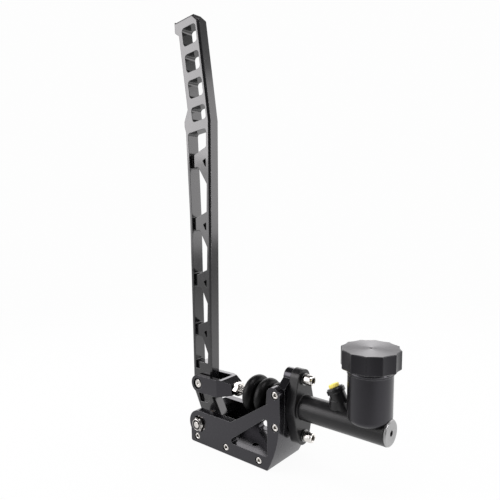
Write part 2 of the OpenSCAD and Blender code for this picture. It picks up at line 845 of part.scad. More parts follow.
// One-piece tube, flange and rear spigot
module cylinder_body() {
    plug_x = tube_end_x - plug_rim_t;
    color([0.1, 0.1, 0.11]) difference() {
        union() {
            translate([flange_x, 0, cyl_z]) rotate([90, 0, 90]) linear_extrude(flange_t) flange_outline();
            translate([0, 0, cyl_z]) {
                bar_x(tube_d, flange_x, plug_x);
                bar_x(spigot_d, spigot_x, flange_x + cut);
            }
        }
        translate([0, 0, cyl_z]) {
            bar_x(bore_d, spigot_x - cut, plug_x + cut);
            bar_x(mouth_d, spigot_x - cut, mouth_x);
            bar_x(clip_groove_d + 2 * seat_gap, clip_x - seat_gap, clip_x + clip_ring_t + seat_gap);
        }
        for (z = [lower_bolt_z, upper_bolt_z]) translate([0, 0, z])
            bar_x(flange_bolt_d + 2 * bolt_fit, flange_x - cut, flange_x + flange_t + cut);
        translate([feed_x, 0, cyl_z]) cylinder(d = feed_d, h = tube_d, $fn = round_fn);
        on_port() cylinder(d = feed_d, h = tube_d, $fn = round_fn);
    }
}

module flange_bolts() {
    head_h = 9.2;
    head_d = 10;
    head_x = flange_x + flange_t + washer_t;
    color([0.82, 0.82, 0.84]) for (z = [lower_bolt_z, upper_bolt_z])
        translate([head_x, 0, z]) rotate([0, 90, 0])
            socket_screw(flange_bolt_d, flange_t + washer_t + upright_t - 1, head_d, head_h, 5);
}

module flange_washers() {
    color([0.8, 0.8, 0.82]) for (z = [lower_bolt_z, upper_bolt_z])
        translate([flange_x + flange_t, 0, z]) rotate([0, 90, 0])
            ring(2 * flange_bolt_d, flange_bolt_d + 2 * bolt_fit, washer_t);
}

// Thrust washer that holds the push rod in the piston
module stop_washer() {
    color([0.7, 0.7, 0.72]) translate([mouth_x - washer_t, 0, cyl_z]) rotate([0, 90, 0])
        ring(mouth_d - 2 * seat_gap, ball_d - 1, washer_t);
}

// Snap ring in the mouth of the cylinder
module circlip() {
    color([0.45, 0.45, 0.47]) translate([clip_x, 0, cyl_z]) rotate([0, 90, 0]) difference() {
        ring(clip_groove_d, mouth_d - 3.5, clip_ring_t);
        translate([0, -clip_slot / 2, -cut]) cube([clip_groove_d, clip_slot, clip_ring_t + 2 * cut]);
    }
}

// Piston: rod socket behind, seal groove, seal nose and stem bore in front
module piston() {
    socket_end = ball_x + ball_d / 2 + face_gap;
    color([0.75, 0.75, 0.76]) translate([0, 0, cyl_z]) difference() {
        union() {
            bar_x(bore_d - 2 * run_fit, piston_x, piston_front_x - seal_t - seal_slack);
            bar_x(seal_core_d, piston_x, piston_front_x);
        }
        bar_x(ball_d + 2 * ball_gap, piston_x - cut, socket_end);
        bar_x(stem_d + 1, piston_front_x - stroke - stem_in - 3, piston_front_x + cut);
        difference() {
            bar_x(bore_d + cut, rear_seal_x - seal_slack, rear_seal_x + seal_t + seal_slack);
            bar_x(seal_core_d, rear_seal_x - cut, rear_seal_x + seal_t + cut);
        }
    }
}

// Rubber lip seal seen in section: a thick core and a thin running lip
module lip_seal(x) {
    core = seal_core_d / 2 + seat_gap;
    lip = bore_d / 2 - run_fit;
    translate([x, 0, 0]) about_x(cyl_z) polygon([
        [core, 0], [lip - lip_h / 2, 0], [lip, lip_h / 2], [lip, seal_t],
        [lip - 1, seal_t], [lip - lip_h, seal_t - lip_h], [core, seal_t - lip_h]
    ]);
}

module primary_seal() {
    color([0.08, 0.08, 0.08]) lip_seal(piston_front_x - seal_t - seal_slack / 2);
}

module secondary_seal() {
    color([0.08, 0.08, 0.08]) lip_seal(rear_seal_x);
}

// Pressed cup that carries the spring on the piston nose
module spring_thimble() {
    color([0.65, 0.65, 0.67]) translate([piston_front_x, 0, cyl_z]) rotate([0, 90, 0]) {
        ring(bore_d - 2, stem_d + 1, thimble_t);
        ring(spring_d - 2 * spring_wire - 0.8, stem_d + 1, thimble_len);
    }
}

// Level cut through a round wire wound as a coil: a slim crescent along the circumference
module wire_cut(mean_r, wire, pitch) {
    half_angle = 360 * wire / pitch / 2;
    steps = 6;
    function edge(k, sign) =
        let (t = 2 * k / steps - 1, r = mean_r + sign * wire / 2 * sqrt(max(0, 1 - t * t)))
            r * [cos(half_angle * t), sin(half_angle * t)];
    polygon(concat(
        [for (k = [0 : steps]) edge(k, -1)],
        [for (k = [steps - 1 : -1 : 1]) edge(k, 1)]
    ));
}

// Coil spring between the thimble and the spring seat
module return_spring() {
    x0 = piston_front_x + thimble_t + 0.1;
    span = spring_seat_x - x0 - 0.1;
    color([0.6, 0.6, 0.62]) translate([x0, 0, cyl_z]) rotate([0, 90, 0])
        linear_extrude(span, twist = -360 * spring_turns, slices = 12 * spring_turns)
            wire_cut((spring_d - spring_wire) / 2, spring_wire, span / spring_turns);
}

// Slotted cup that seats the spring on the end plug
module spring_seat() {
    skirt = bore_d - 2 * run_fit;
    color([0.65, 0.65, 0.67]) translate([spring_seat_x, 0, cyl_z]) rotate([0, 90, 0]) difference() {
        union() {
            ring(skirt, stem_d + 1, seat_floor);
            ring(skirt, skirt - 5, seat_x - spring_seat_x);
        }
        for (a = [0, 90]) rotate([0, 0, a])
            translate([-bore_d, -seat_slot / 2, seat_floor + 1.5]) cube([2 * bore_d, seat_slot, seat_x]);
    }
}

// Stem of the centre valve that opens the reservoir feed at rest
module valve_stem() {
    color([0.7, 0.7, 0.72]) translate([0, 0, cyl_z]) {
        bar_x(stem_d, piston_front_x - stem_in, seat_x - stem_in);
        bar_x(valve_d, valve_x, valve_x + valve_t);
    }
}

module valve_seal() {
    color([0.08, 0.08, 0.08]) translate([valve_x + valve_t, 0, cyl_z]) rotate([0, 90, 0])
        ring(valve_d - 2, stem_d + 2 * seat_gap, valve_seal_t);
}

// Threaded end plug with its feed drilling and hexagon socket
module end_plug() {
    rim_d = tube_d - 0.6;
    bevel = 0.9;
    key = 5;
    color([0.45, 0.45, 0.46]) difference() {
        about_x(cyl_z) polygon([
            [0, seat_x], [bore_d / 2 - seat_gap, seat_x],
            [bore_d / 2 - seat_gap, tube_end_x - plug_rim_t], [rim_d / 2, tube_end_x - plug_rim_t],
            [rim_d / 2, tube_end_x - bevel], [rim_d / 2 - bevel, tube_end_x], [0, tube_end_x]
        ]);
        translate([0, 0, cyl_z]) bar_x(stem_d, seat_x - cut, feed_x + cut);
        translate([feed_x, 0, cyl_z]) cylinder(d = feed_d, h = bore_d, $fn = round_fn);
        translate([tube_end_x - key, 0, cyl_z]) rotate([0, 90, 0]) hexagon(key, key + cut);
    }
}

// Port line: Z runs out along the leaning outlet from the cylinder axis
module on_port() {
    translate([port_x, 0, cyl_z]) rotate([0, -port_lean, 0]) children();
}

// Leaning outlet boss with a collar at its mouth, on a pad and web saddled on the tube
module outlet_fitting() {
    lip = 1.2;
    color([0.1, 0.1, 0.11]) difference() {
        union() {
            on_port() {
                cylinder(d = port_d, h = port_reach - collar_h, $fn = round_fn);
                translate([0, 0, port_reach - collar_h])
                    cylinder(d = collar_d, h = collar_h - lip, $fn = round_fn);
                translate([0, 0, port_reach - 2 * lip])
                    cylinder(d = port_d, h = 2 * lip, $fn = round_fn);
            }
            translate([pad_x, 0, cyl_z]) {
                cylinder(d = pad_d, h = pad_h, $fn = round_fn);
                translate([0, -web_t / 2, 0]) cube([res_x - pad_x, web_t, pad_h]);
            }
        }
        translate([0, 0, cyl_z]) bar_x(tube_d + 2 * seat_gap, flange_x, tube_end_x);
        translate([res_x, 0, cyl_z])
            cylinder(d = res_d + 2 * face_gap, h = cap_top_z - cyl_z, $fn = round_fn);
        on_port() {
            cylinder(d = feed_d, h = port_reach, $fn = round_fn);
            translate([0, 0, port_reach - plug_stem - 2])
                cylinder(d = port_bore_d, h = plug_stem + 2 + cut, $fn = round_fn);
        }
    }
}

// Push-in dust plug in the outlet
module port_plug() {
    color([0.95, 0.8, 0.12]) on_port() translate([0, 0, port_reach + face_gap]) {
        translate([0, 0, -plug_stem]) cylinder(d = port_bore_d - 0.4, h = plug_stem + cut, $fn = round_fn);
        cylinder(d = plug_head_d, h = plug_head_h, $fn = round_fn);
    }
}

// Reservoir cup saddled on the tube, with a threaded neck
module reservoir() {
    r = res_d / 2;
    inner = r - res_wall;
    color([0.09, 0.09, 0.1]) difference() {
        translate([res_x, 0, 0]) rotate_extrude($fn = round_fn) difference() {
            union() {
                translate([0, res_low_z + res_fillet]) square([r, neck_low_z - res_low_z - res_fillet]);
                translate([0, res_low_z]) square([r - res_fillet, res_fillet + cut]);
                translate([r - res_fillet, res_low_z + res_fillet]) circle(res_fillet, $fn = round_fn);
                translate([0, neck_low_z]) square([neck_d / 2, neck_top_z - neck_low_z]);
            }
            translate([-2 * r, res_low_z - cut]) square([2 * r, cap_top_z]);
            translate([0, res_floor_z]) square([inner, cap_top_z]);
        }
        translate([0, 0, cyl_z]) bar_x(tube_d + 2 * seat_gap, flange_x, res_x + res_d);
        translate([feed_x, 0, cyl_z]) cylinder(d = feed_d, h = res_floor_z, $fn = round_fn);
    }
}

// Rubber diaphragm clamped under the cap
module cap_gasket() {
    rim_r = res_d / 2 - res_wall - gasket_t;
    dish_r = rim_r - 3 * gasket_t;
    sag = 6.5 * gasket_t;
    color([0.07, 0.07, 0.07]) translate([res_x, 0, neck_top_z + seat_gap]) rotate_extrude($fn = round_fn)
        polygon([
            [0, -sag], [dish_r, -sag], [rim_r, 0], [neck_d / 2, 0], [neck_d / 2, gasket_t],
            [rim_r - gasket_t, gasket_t], [dish_r - gasket_t, gasket_t - sag], [0, gasket_t - sag]
        ]);
}

// Fluted screw cap with a vent dimple
module reservoir_cap() {
    r = cap_d / 2;
    bevel = 1.4;
    low_z = cap_top_z - cap_h;
    bore_r = neck_d / 2 + cap_thread_gap;
    flute_r = 30;
    flute_deep = 1.55;
    flute_turn = 4.5;
    vent_d = 3;
    color([0.13, 0.13, 0.14]) difference() {
        translate([res_x, 0, 0]) rotate_extrude($fn = round_fn) polygon([
            [0, cap_top_z - cap_roof], [bore_r, cap_top_z - cap_roof], [bore_r, low_z],
            [r - bevel, low_z], [r, low_z + bevel], [r, cap_top_z - bevel], [r - bevel, cap_top_z], [0, cap_top_z]
        ]);
        for (i = [0 : cap_flutes - 1])
            translate([res_x, 0, low_z - cut]) rotate([0, 0, 360 / cap_flutes * i + flute_turn])
                translate([r + flute_r - flute_deep, 0, 0])
                    cylinder(r = flute_r, h = cap_h + 2 * cut, $fn = round_fn);
        translate([res_x, 0, cap_top_z - cut]) cylinder(d = vent_d, h = 2 * cut, $fn = round_fn);
    }
}

base_plate();
side_plate_near();
side_plate_far();
upright();
side_screws();
pivot_bolt();
pivot_nut();
pivot_washers();
pivot_spacers();
lever();
pivot_bushes();
clevis_bush();
clevis();
clevis_pin();
clevis_pin_clip();
clevis_washers();
lock_nut();
pushrod();
boot();
boot_clip();
cylinder_body();
flange_bolts();
flange_washers();
stop_washer();
circlip();
piston();
primary_seal();
secondary_seal();
spring_thimble();
return_spring();
spring_seat();
valve_stem();
valve_seal();
end_plug();
outlet_fitting();
port_plug();
reservoir();
cap_gasket();
reservoir_cap();
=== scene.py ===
"""Looks of a vertical hydraulic handbrake: finishes, threads, bellows, screws and soft studio light."""

import json
import math
from collections import namedtuple

import bmesh
import bpy
from mathutils import Matrix, Vector


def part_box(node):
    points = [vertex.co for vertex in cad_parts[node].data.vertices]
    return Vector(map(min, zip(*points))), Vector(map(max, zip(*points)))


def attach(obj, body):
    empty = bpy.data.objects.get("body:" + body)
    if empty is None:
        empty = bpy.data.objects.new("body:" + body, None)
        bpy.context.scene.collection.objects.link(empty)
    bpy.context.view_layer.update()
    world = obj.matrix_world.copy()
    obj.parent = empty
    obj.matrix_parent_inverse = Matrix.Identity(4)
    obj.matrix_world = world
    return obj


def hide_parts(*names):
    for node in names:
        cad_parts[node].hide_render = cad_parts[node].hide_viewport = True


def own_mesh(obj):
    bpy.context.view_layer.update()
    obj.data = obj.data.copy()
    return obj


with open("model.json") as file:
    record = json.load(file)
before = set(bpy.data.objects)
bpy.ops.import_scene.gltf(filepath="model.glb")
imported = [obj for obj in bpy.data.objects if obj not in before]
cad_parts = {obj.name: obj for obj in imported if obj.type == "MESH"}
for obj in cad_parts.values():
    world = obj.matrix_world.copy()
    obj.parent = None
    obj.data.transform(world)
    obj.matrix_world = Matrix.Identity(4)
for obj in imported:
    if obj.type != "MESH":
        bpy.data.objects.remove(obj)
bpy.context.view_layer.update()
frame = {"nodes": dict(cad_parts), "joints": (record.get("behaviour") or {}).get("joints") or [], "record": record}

MM = 0.001
TAU = 2 * math.pi


# Places and sizes that the frame gives, in millimetres

JOINTS = {joint["name"]: joint for joint in frame["joints"]}
RATIOS = {coupling["joint"]: coupling["ratio"] for coupling in frame["record"]["behaviour"]["couplings"]}
Corner = namedtuple("Corner", "x y z")
Box = namedtuple("Box", "low high")


def in_mm(point):
    """A point of the frame in millimetres, to a thousandth."""
    return Corner(*(round(v / MM, 3) for v in point))


def joint_place(name):
    """A point on a joint's axis."""
    return Vector(in_mm(JOINTS[name]["pos_m"]))


def node_box(name):
    """Lowest and highest corners of a node at rest."""
    return Box(*(in_mm(corner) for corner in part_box(name)))


PIVOT = joint_place("lever_swing")
PIN = joint_place("clevis_swing")
SWING = math.radians(JOINTS["lever_swing"]["range_deg"][1])
RES_X = joint_place("cap_turn").x
CAP_PITCH = round(TAU * RATIOS["cap_lift"] / MM, 2)
PORT_AXIS = Vector(JOINTS["plug_pull"]["axis"])

CYLINDER = node_box("cylinder_body")
PIVOT_NUT = node_box("pivot_nut")
SPRING = node_box("return_spring")
CAP = node_box("reservoir_cap")
HALF_W = node_box("side_plate_far").high.y
FLOOR_PLATE_T = node_box("base_plate").high.z
BOLT_SEAT_X = node_box("flange_washers").high.x
BOLT_END = -node_box("pivot_bolt").low.y
CYL_Z = (CYLINDER.low.z + CYLINDER.high.z) / 2


# Places and sizes shared with the solids that the frame doesn't give, in millimetres

BALL = Vector((66.0, 0.0, CYL_Z))
ROD = (BALL - PIN).normalized()
ROD_LEN = (BALL - PIN).length
CLEVIS_END = 45.5
BOLT_PITCH = 57.15
PORT = Vector((128.3, 0.0, CYL_Z))
PORT_REACH = 32.0
COLUMN_X = 63.2
FLOOR_ROW_Z = FLOOR_PLATE_T / 2
SIDE_SCREWS = [(x, FLOOR_ROW_Z) for x in (-44.5, -2.0, 42.5)] + [(COLUMN_X, z) for z in (46.5, 78.65)]
M8_PITCH = 1.25


# Mesh helpers

def aim(place, direction):
    """Matrix that takes a form drawn along local Z, in millimetres, to its place and way in metres."""
    turn = Vector(direction).to_track_quat("Z", "Y").to_matrix().to_4x4()
    return Matrix.Translation(Vector(place) * MM) @ turn @ Matrix.Scale(MM, 4)


def hexagon(across_flats):
    """Radius of a hexagon at an angle."""
    sector = TAU / 6
    return lambda a: across_flats / 2 / math.cos((a % sector) - sector / 2)


def chamfered_hexagon(across_flats, limit):
    """Hexagon whose corners are turned down to a round of the given radius."""
    flats = hexagon(across_flats)
    return lambda a: min(flats(a), limit)


def knurled(radius, depth, teeth):
    """Radius of a knurled rim at an angle."""
    return lambda a: radius - depth * (0.5 - 0.5 * math.cos(teeth * a))


def skin(bm, rings, closed):
    """Joins rings of points, and caps the first and last unless the form closes on itself."""
    pairs = list(zip(rings, rings[1:]))
    if closed:
        pairs.append((rings[-1], rings[0]))
    for low, high in pairs:
        for k in range(len(low)):
            m = (k + 1) % len(low)
            bm.faces.new((low[k], low[m], high[m], high[k]))
    if not closed:
        bm.faces.new(list(reversed(rings[0])))
        bm.faces.new(rings[-1])


def sweep(bm, rows, place, count, closed):
    """Adds a form swept round local Z; a row is (radius or function of the angle, height)."""
    rings = []
    for radius, height in rows:
        ring = []
        for k in range(count):
            a = TAU * k / count
            r = radius(a) if callable(radius) else radius
            ring.append(bm.verts.new(place @ Vector((r * math.cos(a), r * math.sin(a), height))))
        rings.append(ring)
    skin(bm, rings, closed)


def dress(bm, name, body, slot, stands_for, crease):
    """Makes an object of a finished form, which rides on a body and wears the finish of its slot."""
    bmesh.ops.recalc_face_normals(bm, faces=bm.faces)
    mesh = bpy.data.meshes.new(name)
    bm.to_mesh(mesh)
    bm.free()
    mesh.shade_smooth()
    mesh.set_sharp_from_angle(angle=math.radians(crease))
    mesh.materials.append(FINISH[slot])
    obj = bpy.data.objects.new(name, mesh)
    bpy.context.scene.collection.objects.link(obj)
    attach(obj, body)
    if stands_for:
        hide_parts(stands_for)
    return obj


def piece(name, body, slot, stands_for, rows, places, count=96, closed=False, crease=35):
    """One object with the same swept form at each place."""
    bm = bmesh.new()
    for place in places:
        sweep(bm, rows, place, count, closed)
    return dress(bm, name, body, slot, stands_for, crease)


def raised(rows, height):
    """Rows moved up along local Z."""
    return [(r, z + height) for r, z in rows]


def thread_rows(start, end, major, depth, pitch, steps=8):
    """Rows of a helical thread that fades out at both ends."""
    def ridge(z, fade):
        def radius(a):
            phase = (z / pitch - a / TAU) % 1.0
            return major - depth + depth * fade * (1 - abs(2 * phase - 1))
        return radius
    count = round((end - start) / pitch * steps)
    rows = []
    for k in range(count + 1):
        z = start + (end - start) * k / count
        fade = min(1.0, (z - start) / pitch, (end - z) / pitch)
        rows.append((ridge(z, fade), z))
    return rows


KNURL_DEPTH = 0.16


def socket_screw(shank_d, reach, head_d, head_h, key, socket_z, knurl_teeth=0):
    """Rows of a socket screw, from the tip of its shank up over the head and down to the socket's floor.

    Heights start at the head's seat. The tip, both rims of the head and the socket's mouth are chamfered.
    """
    tip_r, tip_h = 0.36 * shank_d, 0.14 * shank_d
    mouth_r, mouth_h = 0.64 * key, 0.12 * key
    drill_r, drill_h = 0.3 * key, 0.1 * key
    r, rim = head_d / 2, 0.12 * head_h
    side = knurled(r, KNURL_DEPTH, knurl_teeth) if knurl_teeth else r
    return [
        (tip_r, -reach), (shank_d / 2, tip_h - reach), (shank_d / 2, 0),
        (r - rim, 0), (r - 0.1, 0.6 * rim), (side, rim), (side, head_h - 1.6 * rim),
        (r - 0.12, head_h - 1.2 * rim), (r - 0.45 * rim, head_h - 0.4 * rim), (r - 1.1 * rim, head_h),
        (mouth_r, head_h), (hexagon(key), head_h - mouth_h), (hexagon(key), socket_z),
        (drill_r, socket_z - drill_h),
    ]


# Material helpers

# Places of the sockets of a Mix node, whose names repeat: of its numbers and of its colours
NUMBER_A, NUMBER_B, NUMBER_OUT = 2, 3, 0
COLOUR_A, COLOUR_B, COLOUR_OUT = 6, 7, 2


class Graph:
    """Short hand for building a node tree."""

    def __init__(self, tree):
        self.tree = tree

    def link(self, source, socket):
        self.tree.links.new(source, socket)

    def node(self, kind, links=(), **settings):
        """A new node: settings are its properties and constant sockets, links its linked sockets."""
        new = self.tree.nodes.new(kind)
        for key, value in settings.items():
            if hasattr(new, key):
                setattr(new, key, value)
            else:
                new.inputs[key.replace("_", " ")].default_value = value
        for socket, source in dict(links).items():
            self.link(source, new.inputs[socket])
        return new

    def ramp(self, source, low, high, start=0.0, end=1.0, **settings):
        """Takes the source's low..high to start..end, and holds both ends."""
        return self.node("ShaderNodeMapRange", {"Value": source}, From_Min=low, From_Max=high,
                         To_Min=start, To_Max=end, **settings).outputs["Result"]

    def combine(self, operation, a, b):
        """Two numbers through one operation, such as MULTIPLY."""
        return self.node("ShaderNodeMath", {0: a, 1: b}, operation=operation).outputs["Value"]

    def along(self, vector, axis):
        """How far a vector reaches along a fixed axis."""
        dot = self.node("ShaderNodeVectorMath", {0: vector}, operation="DOT_PRODUCT")
        dot.inputs[1].default_value = axis
        return dot.outputs["Value"]

    def mix(self, factor, a, b):
        """a where the factor is 0 and b where it is 1; each is a socket or a plain number."""
        new = self.node("ShaderNodeMix", {"Factor": factor})
        for place, value in ((NUMBER_A, a), (NUMBER_B, b)):
            if isinstance(value, float):
                new.inputs[place].default_value = value
            else:
                self.link(value, new.inputs[place])
        return new.outputs[NUMBER_OUT]

    def noise(self, vector, per_metre, detail):
        return self.node("ShaderNodeTexNoise", {"Vector": vector},
                         Scale=per_metre, Detail=detail).outputs["Fac"]


class Shader(Graph):
    """The node tree of a new material."""

    def __init__(self, name):
        self.material = bpy.data.materials.new(name)
        self.material.use_nodes = True
        super().__init__(self.material.node_tree)
        self.bsdf = self.tree.nodes["Principled BSDF"]

    def to_bsdf(self, socket, source):
        self.link(source, self.bsdf.inputs[socket])

    def set(self, **sockets):
        for key, value in sockets.items():
            self.bsdf.inputs[key.replace("_", " ")].default_value = value


def rgb(r, g, b):
    return (r, g, b, 1.0)


def grey(v):
    return rgb(v, v, v)


# Clouds of colour: how many to the metre, the middle of the noise, and the tint that it gives
CLOUDS_PER_METRE = 55.0
CLOUD_DETAIL = 4.0
CLOUD_LOW, CLOUD_HIGH = 0.3, 0.7
TINT_LOW, TINT_HIGH = 0.86, 1.14

# Clouds and grain together, from their low to their high, carry the roughness
GRAIN_DETAIL = 3.0
WANDER_LOW, WANDER_HIGH = 0.6, 1.4

# Wear and painted edge highlight start where the rounded normal leans off the face by the first cosine, and are
# full at the second
WEAR_AND_HIGHLIGHT_START, WEAR_AND_HIGHLIGHT_FULL = 0.99, 0.80
EDGE_SAMPLES = 6


def finish(name, colour, worn, rough, spread, grain, relief, edge=0.35, stretch=(1, 1, 1), **sockets):
    """A worked surface: cloudy colour, roughness that varies, fine grain relief, and edges of wear and painted
    highlight.

    colour is the faces' colour, and the edge colour after it is partly wear and partly painted highlight; rough
    the mean roughness and spread its variation, grain the size of the relief, relief its height and edge the round
    of the edges, in millimetres.
    """
    s = Shader(name)
    s.set(**sockets)
    where = s.node("ShaderNodeTexCoord").outputs["Object"]
    stretched = s.node("ShaderNodeMapping", {"Vector": where}, Scale=stretch).outputs["Vector"]
    clouds = s.noise(where, CLOUDS_PER_METRE, CLOUD_DETAIL)
    fine = s.noise(stretched, 1 / (grain * MM), GRAIN_DETAIL)

    rounded = s.node("ShaderNodeBevel", samples=EDGE_SAMPLES, Radius=edge * MM).outputs["Normal"]
    flat = s.node("ShaderNodeNewGeometry").outputs["Normal"]
    lean = s.node("ShaderNodeVectorMath", {0: rounded, 1: flat}, operation="DOT_PRODUCT").outputs["Value"]
    # Mask of the lighter edges, which stand partly for wear and partly for a painted highlight along them
    wear_and_highlight_mask = s.combine("MULTIPLY", s.ramp(lean, WEAR_AND_HIGHLIGHT_START, WEAR_AND_HIGHLIGHT_FULL), clouds)

    tint = s.ramp(clouds, CLOUD_LOW, CLOUD_HIGH, TINT_LOW, TINT_HIGH)
    base = s.node("ShaderNodeVectorMath", {"Scale": tint}, operation="SCALE", Vector=colour[:3])
    mixed = s.node("ShaderNodeMix", {"Factor": wear_and_highlight_mask, COLOUR_A: base.outputs["Vector"]}, data_type="RGBA")
    mixed.inputs[COLOUR_B].default_value = worn
    s.to_bsdf("Base Color", mixed.outputs[COLOUR_OUT])

    wander = s.combine("ADD", clouds, fine)
    s.to_bsdf("Roughness", s.ramp(wander, WANDER_LOW, WANDER_HIGH, rough - spread, rough + spread))
    bump = s.node("ShaderNodeBump", {"Height": fine, "Normal": rounded}, Strength=1.0, Distance=relief * MM)
    s.to_bsdf("Normal", bump.outputs["Normal"])
    return s


# Finishes of the record's material slots

# Black dye leaves a faint violet cast in what the surface reflects
VIOLET = rgb(0.93, 0.91, 1.0)

# The light edge colours of the black finishes are partly wear and partly a painted highlight along their edges
LOOKS = {
    "black_anodised": dict(
        colour=rgb(0.0030, 0.0028, 0.0035), worn=grey(0.24), rough=0.18, spread=0.04, grain=0.35,
        relief=0.0012, edge=0.45, Specular_IOR_Level=0.64, Specular_Tint=VIOLET),
    "lever_anodised": dict(
        colour=rgb(0.0052, 0.0050, 0.0057), worn=grey(0.05), rough=0.14, spread=0.04, grain=0.3,
        relief=0.001, edge=0.9, stretch=(1, 1, 0.12), Specular_IOR_Level=0.95),
    "reservoir_black": dict(
        colour=rgb(0.0014, 0.0013, 0.0017), worn=grey(0.06), rough=0.30, spread=0.05, grain=0.3,
        relief=0.001, edge=1.2, stretch=(1, 1, 6), Specular_IOR_Level=0.56, Specular_Tint=VIOLET),
    "bright_steel": dict(
        colour=rgb(0.77, 0.745, 0.71), worn=rgb(0.88, 0.86, 0.83), rough=0.17, spread=0.06, grain=0.25,
        relief=0.0015, edge=0.15, Metallic=1.0),
    "spring_steel": dict(
        colour=grey(0.42), worn=grey(0.6), rough=0.28, spread=0.06, grain=0.25, relief=0.0015,
        edge=0.1, Metallic=1.0),
    "dark_steel": dict(
        colour=grey(0.22), worn=grey(0.4), rough=0.22, spread=0.06, grain=0.3, relief=0.0015,
        edge=0.2, Metallic=1.0),
    "bronze": dict(
        colour=rgb(0.26, 0.18, 0.11), worn=rgb(0.40, 0.30, 0.18), rough=0.34, spread=0.06, grain=0.2,
        relief=0.003, edge=0.15, Metallic=1.0),
    "boot_rubber": dict(
        colour=grey(0.0008), worn=grey(0.001), rough=0.42, spread=0.06, grain=0.5, relief=0.004,
        edge=0.3, Specular_IOR_Level=0.2),
    "seal_rubber": dict(
        colour=grey(0.016), worn=grey(0.02), rough=0.6, spread=0.06, grain=0.4, relief=0.004, edge=0.1),
    "plain_aluminium": dict(
        colour=grey(0.31), worn=grey(0.55), rough=0.36, spread=0.06, grain=0.25, relief=0.002,
        edge=0.2, Metallic=1.0),
    "nylon": dict(
        colour=rgb(0.72, 0.70, 0.62), worn=rgb(0.8, 0.78, 0.7), rough=0.45, spread=0.06, grain=0.3,
        relief=0.002, edge=0.15, Subsurface_Weight=0.1),
    "yellow_plastic": dict(
        colour=rgb(0.93, 0.76, 0.16), worn=rgb(0.95, 0.85, 0.35), rough=0.38, spread=0.06, grain=0.35,
        relief=0.003, edge=0.3),
}
FINISH = {slot: finish(slot, **look).material for slot, look in LOOKS.items()}

# The cap's top is faced on a lathe, so its highlight fans out from the middle
# Its light edge colour paints a highlight along the rim and the flute ridges, besides their wear
cap_finish = finish(
    "cap_black", colour=rgb(0.0020, 0.0019, 0.0023), worn=grey(0.30), rough=0.30, spread=0.04, grain=0.3,
    relief=0.0008, edge=0.6, Specular_IOR_Level=0.42, Specular_Tint=VIOLET, Anisotropic=0.7)
around = cap_finish.node("ShaderNodeTangent", direction_type="RADIAL", axis="Z")
cap_finish.to_bsdf("Tangent", around.outputs["Tangent"])
FINISH["cap_black"] = cap_finish.material

for subpart in frame["record"]["subparts"]:
    node = frame["nodes"][subpart["node"]]
    node.data.materials.clear()
    node.data.materials.append(FINISH[subpart["material_slot"]])

# The cast cylinder is duller than the machined plates
cast_finish = finish(
    "cast_black", colour=rgb(0.0036, 0.0034, 0.0041), worn=grey(0.05), rough=0.32, spread=0.05, grain=0.35,
    relief=0.0014, edge=1.6, Specular_IOR_Level=0.45)
for name in ("cylinder_body", "outlet_fitting"):
    frame["nodes"][name].data.materials[0] = cast_finish.material

# The washers under the flange bolts are blackened
frame["nodes"]["flange_washers"].data.materials[0] = FINISH["dark_steel"]


# Side screws, sunk in the side plates

SCREW_HEAD_H = 4.0
SCREW_SUNK = 0.4
SCREW_SEAT = HALF_W - SCREW_HEAD_H - SCREW_SUNK
screw_rows = socket_screw(shank_d=4.0, reach=17.0, head_d=7.0, head_h=SCREW_HEAD_H, key=3.0, socket_z=-1.2)
screw_places = [aim((x, side * SCREW_SEAT, z), (0, side, 0)) for side in (-1, 1) for x, z in SIDE_SCREWS]
piece("side_screw_set", "base", "bright_steel", "side_screws", screw_rows, screw_places, count=72)


# Flange bolts, with knurled heads

bolt_rows = socket_screw(shank_d=6.0, reach=19.6, head_d=10.0, head_h=9.2, key=5.0, socket_z=-1.8,
                         knurl_teeth=36)
bolt_places = [aim((BOLT_SEAT_X, 0, CYL_Z + end * BOLT_PITCH / 2), (1, 0, 0)) for end in (-1, 1)]
piece("flange_bolt_set", "base", "bright_steel", "flange_bolts", bolt_rows, bolt_places, count=144)


# Clevis pin, with a flat socket head

PIN_SEAT = 11.0
pin_rows = socket_screw(shank_d=6.0, reach=24.5, head_d=8.8, head_h=2.5, key=3.0, socket_z=1.4)
piece("clevis_pin_turned", "pushrod", "bright_steel", "clevis_pin", pin_rows,
      [aim(PIN - Vector((0, PIN_SEAT, 0)), (0, -1, 0))])


# Pivot nut: chamfered hexagon with a rolled collar, which holds a dark locking insert

NUT_AF = PIVOT_NUT.high.z - PIVOT_NUT.low.z
NUT_H = PIVOT_NUT.high.y - PIVOT_NUT.low.y
NUT_SEAT = -PIVOT_NUT.high.y
NUT_BORE_R = 4.1
COLLAR_LOW = NUT_H - 1.8
INSERT_BORE_R = 4.06
INSERT_R = 5.37
INSERT_LOW = NUT_H - 1.25
INSERT_TOP = NUT_H - 0.25
FLATS = hexagon(NUT_AF)


def turned(limit):
    """The nuts' hexagon with its corners turned down."""
    return chamfered_hexagon(NUT_AF, limit)


nut_rows = [
    (NUT_BORE_R, 0), (6.1, 0), (turned(6.5), 0.25), (turned(7.1), 0.6), (FLATS, 1.0),
    (FLATS, 5.0), (turned(7.1), 5.4), (turned(6.4), COLLAR_LOW), (6.28, COLLAR_LOW + 0.15),
    (6.25, NUT_H - 0.7), (6.1, NUT_H - 0.2), (5.8, NUT_H), (5.5, NUT_H - 0.12),
    (5.4, NUT_H - 1.2), (NUT_BORE_R, NUT_H - 1.3),
]
insert_rows = [
    (INSERT_BORE_R, INSERT_LOW), (INSERT_R, INSERT_LOW), (INSERT_R, INSERT_TOP - 0.2),
    (INSERT_R - 0.22, INSERT_TOP), (INSERT_BORE_R + 0.24, INSERT_TOP), (INSERT_BORE_R, INSERT_TOP - 0.25),
]
nut_place = aim(PIVOT - Vector((0, NUT_SEAT, 0)), (0, -1, 0))
piece("pivot_lock_nut", "base", "bright_steel", "pivot_nut", nut_rows, [nut_place], closed=True, crease=25)
piece("lock_insert", "base", "seal_rubber", None, insert_rows, [nut_place], closed=True)


# Pivot bolt: threaded end in the nut, plain shank and a hexagon head on the far side

